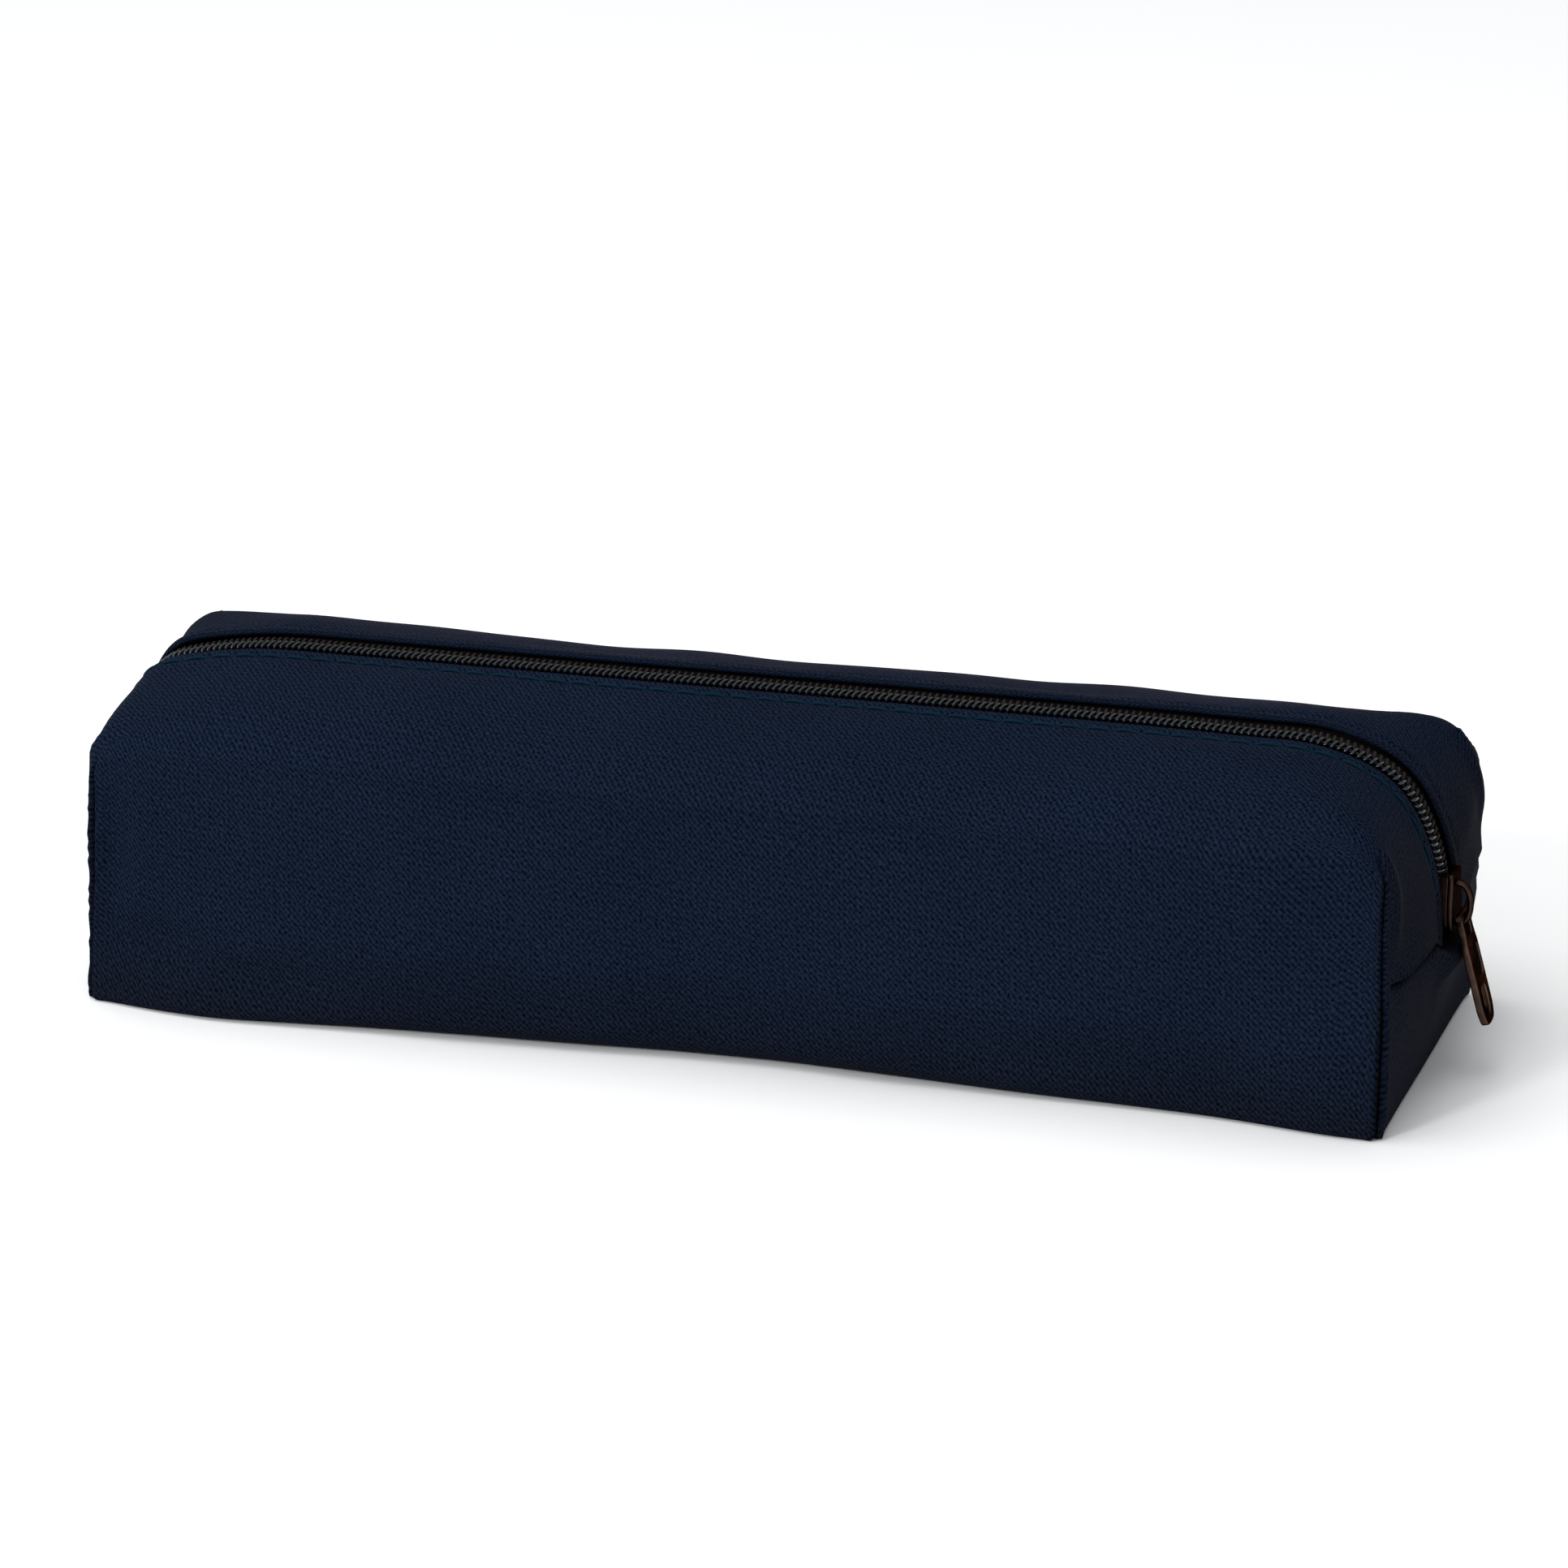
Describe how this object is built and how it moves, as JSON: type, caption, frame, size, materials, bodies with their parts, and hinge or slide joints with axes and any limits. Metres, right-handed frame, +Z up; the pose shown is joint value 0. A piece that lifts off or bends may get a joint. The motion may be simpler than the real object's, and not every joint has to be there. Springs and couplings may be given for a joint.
{
  "type": "pencil case",
  "caption": "Boxy zipped pencil case in dark twill, with a coil zip over the top and down both ends.",
  "frame": {"origin": "centre of the flat base, on the plane the case stands on", "axes": "+X along the case towards the end where the closed slider sits, +Y towards the back, +Z up"},
  "size_m": [0.2345, 0.0644, 0.0544],
  "materials": {
    "cloth": "dark navy twill weave",
    "zip_tape": "black woven tape",
    "coil": "smooth nylon monofilament",
    "thread": "twisted polyester thread",
    "binding": "matt woven binding",
    "zip_metal": "gunmetal, satin"
  },
  "bodies": {
    "case": {"wrap_panel": "cloth", "front_zip_tape": "zip_tape", "back_zip_tape": "zip_tape", "front_coil": "coil", "back_coil": "coil", "front_coil_cord": "thread", "back_coil_cord": "thread", "front_topstitch": "thread", "back_topstitch": "thread", "right_end_binding": "binding", "left_end_binding": "binding", "right_front_binding": "binding", "right_back_binding": "binding", "left_front_binding": "binding", "left_back_binding": "binding", "right_end_thread": "thread", "left_end_thread": "thread", "right_front_thread": "thread", "right_back_thread": "thread", "left_front_thread": "thread", "left_back_thread": "thread"},
    "slider": {"zip_slider": "zip_metal"},
    "puller": {"puller": "zip_metal"}
  },
  "joints": [
    {"name": "slider_travel", "type": "hinge", "parent": "case", "child": "slider", "pos_m": [0.086, 0, 0.028], "axis": [0, -1, 0], "range_deg": [0, 90]},
    {"name": "puller_swing", "type": "hinge", "parent": "slider", "child": "puller", "pos_m": [0.1144, 0, 0.0263], "axis": [0, -1, 0], "range_deg": [0, 120]}
  ]
}
